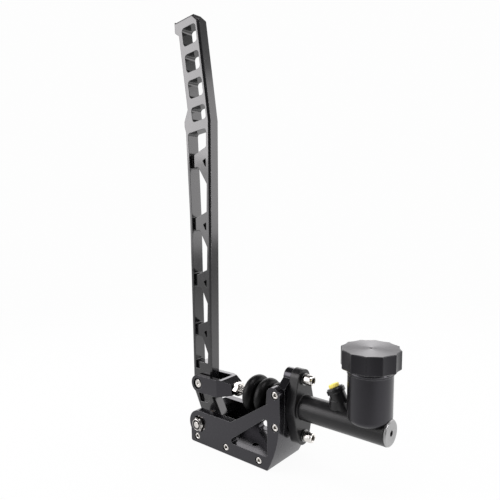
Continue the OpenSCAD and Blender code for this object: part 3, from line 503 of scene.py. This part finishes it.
BOLT_R = 3.99
BOLT_TIP_R = 3.1
BOLT_TIP_H = 0.2
BOLT_THREAD_DEPTH = 0.55
BOLT_THREAD_END = -14.0
head_rows = [
    (FLATS, 0.0), (FLATS, 4.2), (turned(7.1), 4.6), (turned(6.5), 5.0), (6.0, 5.3), (5.4, 5.2),
]
pivot_bolt_rows = (
    [(BOLT_TIP_R, -BOLT_END)]
    + thread_rows(BOLT_TIP_H - BOLT_END, BOLT_THREAD_END, BOLT_R, BOLT_THREAD_DEPTH, M8_PITCH)
    + [(BOLT_R, BOLT_THREAD_END + 0.1), (BOLT_R, NUT_SEAT)]
    + raised(head_rows, NUT_SEAT)
)
piece("pivot_bolt_threaded", "base", "bright_steel", "pivot_bolt", pivot_bolt_rows,
      [aim(PIVOT, (0, 1, 0))], count=72)


# Lock nut of the push rod, against the clevis

LOCK_NUT_H = 6.5
LOCK_BORE_R = 4.05
lock_rows = [
    (LOCK_BORE_R, 0), (6.2, 0), (turned(6.6), 0.3), (turned(7.15), 0.7), (FLATS, 1.1),
    (FLATS, LOCK_NUT_H - 1.1), (turned(7.15), LOCK_NUT_H - 0.7), (turned(6.6), LOCK_NUT_H - 0.3),
    (6.2, LOCK_NUT_H), (4.6, LOCK_NUT_H), (LOCK_BORE_R, LOCK_NUT_H - 0.5),
]
rod_place = aim(PIN, ROD)
piece("rod_lock_nut", "pushrod", "bright_steel", "lock_nut", raised(lock_rows, CLEVIS_END), [rod_place],
      closed=True, crease=25)


# Push rod: rolled thread, plain neck and ball end

ROD_R = 4.0
ROD_START = 31.0
ROD_TIP_R = 3.1
ROD_TIP_H = 0.2
ROD_THREAD_DEPTH = 0.62
ROD_NECK_R = 3.0
ROD_NECK_START = ROD_LEN - 22.0
ROD_THREAD_END = ROD_NECK_START - 1.5
ROD_NECK_END = ROD_LEN - 4.05
BALL_R = 5.0
BALL_STEPS = 20
BALL_FROM, BALL_TO = 0.65, math.pi - 0.1


def ball_row(k):
    """A row of the ball, whose angle runs from the neck to the far pole."""
    t = BALL_FROM + k * (BALL_TO - BALL_FROM) / BALL_STEPS
    return (BALL_R * math.sin(t), ROD_LEN - BALL_R * math.cos(t))


rod_rows = (
    [(ROD_TIP_R, ROD_START)]
    + thread_rows(ROD_START + ROD_TIP_H, ROD_THREAD_END, ROD_R, ROD_THREAD_DEPTH, M8_PITCH)
    + [(ROD_NECK_R, ROD_NECK_START), (ROD_NECK_R, ROD_NECK_END)]
    + [ball_row(k) for k in range(BALL_STEPS + 1)]
)
piece("pushrod_threaded", "pushrod", "bright_steel", "pushrod", rod_rows, [rod_place], count=48)


# Bellows: thin rubber wall with three deep folds, a neck on the rod and a cuff on the cylinder

# X is measured from the ball, and a fold is the place of its middle and the radius of its crest
BOOT_WALL = 1.4
NECK_R = 6.4
NECK_X = -61.0
NECK_GAP = 1.2
CUFF_R = 14.8
CUFF_X = -17.4
CUFF_LEN = 6.0
CUFF_END = CUFF_X + CUFF_LEN
CUFF_LIP = 1.5
CUFF_STEP = 0.4
FOLDS = [(-46.5, 19.9), (-32.0, 19.3), (-18.6, 17.3)]
FOLD_HALF = 6.6
FOLD_EASE = 0.6
FOLD_STEPS = 16
VALLEY_R = 12.5
VALLEY_WALL_SHARE = 0.6


def bellows(inset):
    """Outer or inner line of the bellows, from its neck to its cuff."""
    line = [(NECK_R - inset, NECK_X), (NECK_R - inset, FOLDS[0][0] - FOLD_HALF - NECK_GAP)]
    tip = FOLD_HALF - inset
    valley = VALLEY_R - VALLEY_WALL_SHARE * inset
    for x, crest in FOLDS:
        centre = crest - FOLD_HALF
        line += [(valley, x - tip), (centre - FOLD_EASE, x - tip)]
        for k in range(FOLD_STEPS + 1):
            a = math.pi * k / FOLD_STEPS
            line.append((centre + tip * math.sin(a), x - tip * math.cos(a)))
        line += [(centre - FOLD_EASE, x + tip), (valley, x + tip)]
    while line[-1][0] < CUFF_R - inset or line[-1][1] > CUFF_END - CUFF_LIP:
        line.pop()
    line += [(CUFF_R - inset, line[-1][1] + CUFF_STEP), (CUFF_R - inset, CUFF_END)]
    return line


# The rod's pin end rises as the lever swings, so the bellows lie along the middle of its travel
crank = PIN - PIVOT
rod_rise = round((Matrix.Rotation(SWING, 3, "Y") @ crank - crank).z, 2)
boot_start = PIN + Vector((0, 0, rod_rise / 2))
boot_run = BALL - boot_start
boot_rows = bellows(0.0) + list(reversed(bellows(BOOT_WALL)))
boot = piece("rubber_boot", "base", "boot_rubber", "boot", raised(boot_rows, boot_run.length),
             [aim(boot_start, boot_run)], closed=True, crease=60)
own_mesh(boot)


# Return spring inside the cylinder, wound from round wire

COIL_R = 6.6
WIRE_R = 0.85
WIRE_SIDES = 10
TURNS = 8
STEPS_PER_TURN = 28
SPRING_LEN = SPRING.high.x - SPRING.low.x


def wire_ring(bm, k, steps):
    """Points round the wire at one step along the coil."""
    a = TAU * TURNS * k / steps
    x = SPRING.low.x + WIRE_R + (SPRING_LEN - 2 * WIRE_R) * k / steps
    out = Vector((0, math.cos(a), math.sin(a)))
    ring = []
    for m in range(WIRE_SIDES):
        b = TAU * m / WIRE_SIDES
        middle = Vector((x + WIRE_R * math.sin(b), 0, CYL_Z))
        ring.append(bm.verts.new((middle + out * (COIL_R + WIRE_R * math.cos(b))) * MM))
    return ring


def coil():
    """The wound spring, with both ends of its wire cut square."""
    bm = bmesh.new()
    steps = TURNS * STEPS_PER_TURN
    skin(bm, [wire_ring(bm, k, steps) for k in range(steps + 1)], closed=False)
    return dress(bm, "coil_spring", "base", "spring_steel", "return_spring", crease=180)


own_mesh(coil())


# Dust plug with a domed, ribbed head

PLUG_STEM_R = 4.05
PLUG_STEM = 8.0
PLUG_GAP = 0.2
PLUG_SIDE = knurled(radius=5.0, depth=0.3, teeth=24)
plug_rows = [
    (2.2, -PLUG_STEM), (3.6, -PLUG_STEM), (PLUG_STEM_R, 0.8 - PLUG_STEM), (PLUG_STEM_R, 0.0), (4.8, 0.0),
    (PLUG_SIDE, 0.3), (PLUG_SIDE, 2.4), (4.8, 2.9), (4.4, 3.22), (3.6, 3.4), (2.6, 3.35), (2.2, 3.05),
    (0.8, 3.0),
]
piece("dust_plug", "plug", "yellow_plastic", "port_plug", plug_rows,
      [aim(PORT + PORT_AXIS * (PORT_REACH + PLUG_GAP), PORT_AXIS)])


# Screw thread on the reservoir's neck, seen under the cap

NECK_LOW, NECK_TOP = 112.9, 127.5
NECK_BACK_R = 20.5
NECK_THREAD_R = 21.35
NECK_THREAD_DEPTH = 0.75
reservoir_place = aim((RES_X, 0, 0), (0, 0, 1))
ridges = thread_rows(NECK_LOW, NECK_TOP, NECK_THREAD_R, NECK_THREAD_DEPTH, CAP_PITCH, steps=12)
neck_rows = [(NECK_BACK_R, NECK_LOW), (NECK_BACK_R, NECK_TOP)] + list(reversed(ridges))
# The thread's crests take the finish's light edge colour, a painted glint as well as wear
piece("neck_thread", "base", "black_anodised", None, neck_rows, [reservoir_place], count=120, closed=True)


# Screw cap: twelve shallow flutes that run out through a keen rim, and a vent dimple in the lathe-turned top

CAP_R = 26.5
CAP_LOW = CAP.low.z
CAP_TOP = CAP.high.z
CAP_ROOF = 4.0
CAP_BORE = 21.4
CAP_LEAD_IN = 0.8
CAP_FOOT = 1.0
CAP_RIM = 0.4
FLUTES = 12
FLUTE_R = 30.0
FLUTE_DEEP = 1.55
FLUTE_TURN = math.radians(4.5)
VENT_R = 1.5
VENT_FLOOR_R = 1.2
VENT_DEEP = 1.5


def fluted(radius):
    """Radius of the fluted rim at an angle, where the uncut rim has the given radius."""
    far = CAP_R + FLUTE_R - FLUTE_DEEP
    sector = TAU / FLUTES

    def at(a):
        off = (a - FLUTE_TURN + sector / 2) % sector - sector / 2
        flute = far * math.cos(off) - math.sqrt(FLUTE_R ** 2 - (far * math.sin(off)) ** 2)
        return min(flute, CAP_R) + radius - CAP_R
    return at


cap_rows = [
    (CAP_BORE, CAP_TOP - CAP_ROOF), (CAP_BORE, CAP_LOW + CAP_LEAD_IN), (CAP_BORE + CAP_LEAD_IN, CAP_LOW),
    (fluted(CAP_R - CAP_FOOT), CAP_LOW), (fluted(CAP_R), CAP_LOW + CAP_FOOT),
    (fluted(CAP_R), CAP_TOP - CAP_RIM), (fluted(CAP_R - CAP_RIM), CAP_TOP),
    (VENT_R, CAP_TOP), (VENT_FLOOR_R, CAP_TOP - VENT_DEEP),
]
piece("screw_cap", "cap", "cap_black", "reservoir_cap", cap_rows, [reservoir_place], count=360, crease=12)


# Camera solved from the photograph's edges, in millimetres, degrees and pixels of a 500 pixel frame

CAMERA_PLACE = Vector((348.871, -381.991, 263.786))
CAMERA_AZIMUTH = 37.194
CAMERA_ELEVATION = 7.576
CAMERA_ROLL = -0.120
FRAME_PX = 500
FOCAL_PX = 506.99
CENTRE_PX = (287.295, 264.606)
SENSOR = 36.0


def photo_camera():
    """Camera with the photograph's place, direction, focal length and framing."""
    data = bpy.data.cameras.new("photo_camera")
    cam = bpy.data.objects.new("photo_camera", data)
    bpy.context.scene.collection.objects.link(cam)
    a, e, r = (math.radians(v) for v in (CAMERA_AZIMUTH, CAMERA_ELEVATION, CAMERA_ROLL))
    back = Vector((math.sin(a) * math.cos(e), -math.cos(a) * math.cos(e), math.sin(e)))
    level = Vector((math.cos(a), math.sin(a), 0))
    rise = back.cross(level)
    right = math.cos(r) * level + math.sin(r) * rise
    up = -math.sin(r) * level + math.cos(r) * rise
    cam.matrix_world = Matrix.Translation(CAMERA_PLACE * MM) @ Matrix((right, up, back)).transposed().to_4x4()
    data.sensor_width = SENSOR
    data.lens = FOCAL_PX / FRAME_PX * SENSOR
    data.shift_x = (FRAME_PX / 2 - CENTRE_PX[0]) / FRAME_PX
    data.shift_y = (CENTRE_PX[1] - FRAME_PX / 2) / FRAME_PX
    data.clip_start = 0.01
    data.clip_end = 50
    bpy.context.scene.camera = cam


# Studio: white floor and surround, six soft boxes, and a dark side where the camera stands

# Lengths here are in metres, and a level of 1 is white
WHITE = 0.985
LAMP_TINT = (1.0, 0.972, 0.992)

# Reflections fade to a dark core round the camera's heading, by degrees from it
DARK_CORE = 22
DARK_EDGE = 58
DARK_LEVEL = 0.05

# Reflections fade to a dark ceiling, by the upward share of their direction
CEILING_START = 0.30
CEILING_FULL = 0.58
CEILING_LEVEL = 0.12

FLOOR_R = 2.2
FLOOR_SEGMENTS = 96
FLOOR_DROP = 0.0002
FLOOR_PAINT = 0.8

# Share of glow in the floor: for reflections, and for the lens near the object, where paint keeps the shadow
MIRROR_SHARE = 0.75
LENS_SHARE = 0.96
LENS_NEAR, LENS_FAR = 0.3, 0.9

# Glow that reflections see behind the object and before it: two distances and the levels at them
BACK_GLOW = (0.25, 0.9, 1.27, 0.38)
FRONT_GLOW = (0.12, 0.42, 0.8, 0.42)
BACK_AXIS = (0.55, 0.83, 0.0)
BACK_START, BACK_FULL = -0.03, 0.12

# The front's glow drops again on the way to the camera
CAMERA_GLOW = (0.33, 0.75, 1.0, 0.2)
CAMERA_AXIS = (0.71, -0.71, 0.0)


def soft_box(name, place, target, size, radiance):
    """A rectangular lamp that faces a target and that the camera doesn't see."""
    data = bpy.data.lights.new(name, "AREA")
    data.shape = "RECTANGLE"
    width, height = size
    data.size = width
    data.size_y = height
    data.energy = radiance * math.pi * width * height
    data.color = LAMP_TINT
    lamp = bpy.data.objects.new(name, data)
    bpy.context.scene.collection.objects.link(lamp)
    lamp.location = place
    lamp.rotation_euler = (Vector(place) - Vector(target)).to_track_quat("Z", "Y").to_euler()
    lamp.visible_camera = False


def seen_directly(graph, path):
    """1 for what the camera, a reflection or a glass sees, 0 for what only lights other things."""
    seen = path.outputs["Is Camera Ray"]
    for ray in ("Is Glossy Ray", "Is Transmission Ray"):
        seen = graph.combine("MAXIMUM", seen, path.outputs[ray])
    return seen


def surround():
    """White world, which reflections see with a dark side and a dark ceiling."""
    world = bpy.data.worlds.new("studio")
    bpy.context.scene.world = world
    world.use_nodes = True
    graph = Graph(world.node_tree)
    back = graph.tree.nodes["Background"]
    back.inputs["Color"].default_value = grey(WHITE)
    path = graph.node("ShaderNodeLightPath")
    heading = math.radians(CAMERA_AZIMUTH)
    way = graph.node("ShaderNodeTexCoord").outputs["Generated"]
    toward = graph.along(way, (math.sin(heading), -math.cos(heading), 0.0))
    upward = graph.node("ShaderNodeSeparateXYZ", {"Vector": way}).outputs["Z"]
    edge, core = (math.cos(math.radians(v)) for v in (DARK_EDGE, DARK_CORE))
    dark = graph.ramp(toward, edge, core, 1.0, DARK_LEVEL)
    ceiling = graph.ramp(upward, CEILING_START, CEILING_FULL, 1.0, CEILING_LEVEL)
    mirrored = graph.mix(seen_directly(graph, path), 1.0, graph.combine("MULTIPLY", dark, ceiling))
    graph.link(graph.mix(path.outputs["Is Camera Ray"], mirrored, 1.0), back.inputs["Strength"])


def floor_material():
    """White paint that also glows, at one level for the lens and at others for what reflects it."""
    material = bpy.data.materials.new("studio_floor")
    material.use_nodes = True
    graph = Graph(material.node_tree)
    graph.tree.nodes.remove(graph.tree.nodes["Principled BSDF"])
    path = graph.node("ShaderNodeLightPath")
    to_lens = path.outputs["Is Camera Ray"]
    where = graph.node("ShaderNodeNewGeometry").outputs["Position"]
    away = graph.node("ShaderNodeVectorMath", {0: where}, operation="LENGTH").outputs["Value"]

    behind = graph.ramp(graph.along(where, BACK_AXIS), BACK_START, BACK_FULL)
    front = graph.combine("MULTIPLY", graph.ramp(away, *FRONT_GLOW),
                          graph.ramp(graph.along(where, CAMERA_AXIS), *CAMERA_GLOW))
    mirrored = graph.mix(behind, front, graph.ramp(away, *BACK_GLOW))
    level = graph.mix(to_lens, mirrored, 1.0)
    glow = graph.node("ShaderNodeEmission", {"Strength": level}, Color=grey(WHITE))

    paint = graph.node("ShaderNodeBsdfDiffuse", Color=grey(FLOOR_PAINT))
    share = graph.mix(seen_directly(graph, path), 0.0, MIRROR_SHARE)
    lens_share = graph.ramp(away, LENS_NEAR, LENS_FAR, LENS_SHARE, 1.0, interpolation_type="SMOOTHSTEP")
    surface = graph.node("ShaderNodeMixShader", {
        0: graph.mix(to_lens, share, lens_share), 1: paint.outputs["BSDF"], 2: glow.outputs["Emission"]})
    graph.link(surface.outputs["Shader"], graph.tree.nodes["Material Output"].inputs["Surface"])
    return material


def studio_floor():
    """Round floor just under the object."""
    bm = bmesh.new()
    bmesh.ops.create_circle(bm, cap_ends=True, segments=FLOOR_SEGMENTS, radius=FLOOR_R)
    mesh = bpy.data.meshes.new("studio_floor")
    bm.to_mesh(mesh)
    bm.free()
    mesh.materials.append(floor_material())
    floor = bpy.data.objects.new("studio_floor", mesh)
    floor.location.z = -FLOOR_DROP
    bpy.context.scene.collection.objects.link(floor)


photo_camera()
surround()
studio_floor()
soft_box("left_soft_box", place=(-1.05, -0.95, 0.84), target=(-0.05, 0, 0.34), size=(1.0, 0.90), radiance=3.9)
soft_box("left_low_box", place=(-1.05, -0.95, 0.25), target=(-0.05, 0, 0.25), size=(1.0, 0.36), radiance=1.4)
soft_box("back_soft_box", place=(-0.64, 1.06, 0.50), target=(0.08, 0, 0.12), size=(1.3, 0.5), radiance=1.8)
soft_box("far_soft_box", place=(0.85, 1.15, 0.52), target=(-0.05, 0, 0.35), size=(1.0, 0.96), radiance=1.4)
soft_box("top_soft_box", place=(0.12, -0.16, 1.7), target=(0.05, 0, 0.1), size=(0.6, 0.6), radiance=8.0)
soft_box("right_strip", place=(1.50, 0.18, 0.45), target=(0.0, 0, 0.2), size=(0.22, 1.2), radiance=11.0)

bpy.context.scene.view_settings.view_transform = "Standard"
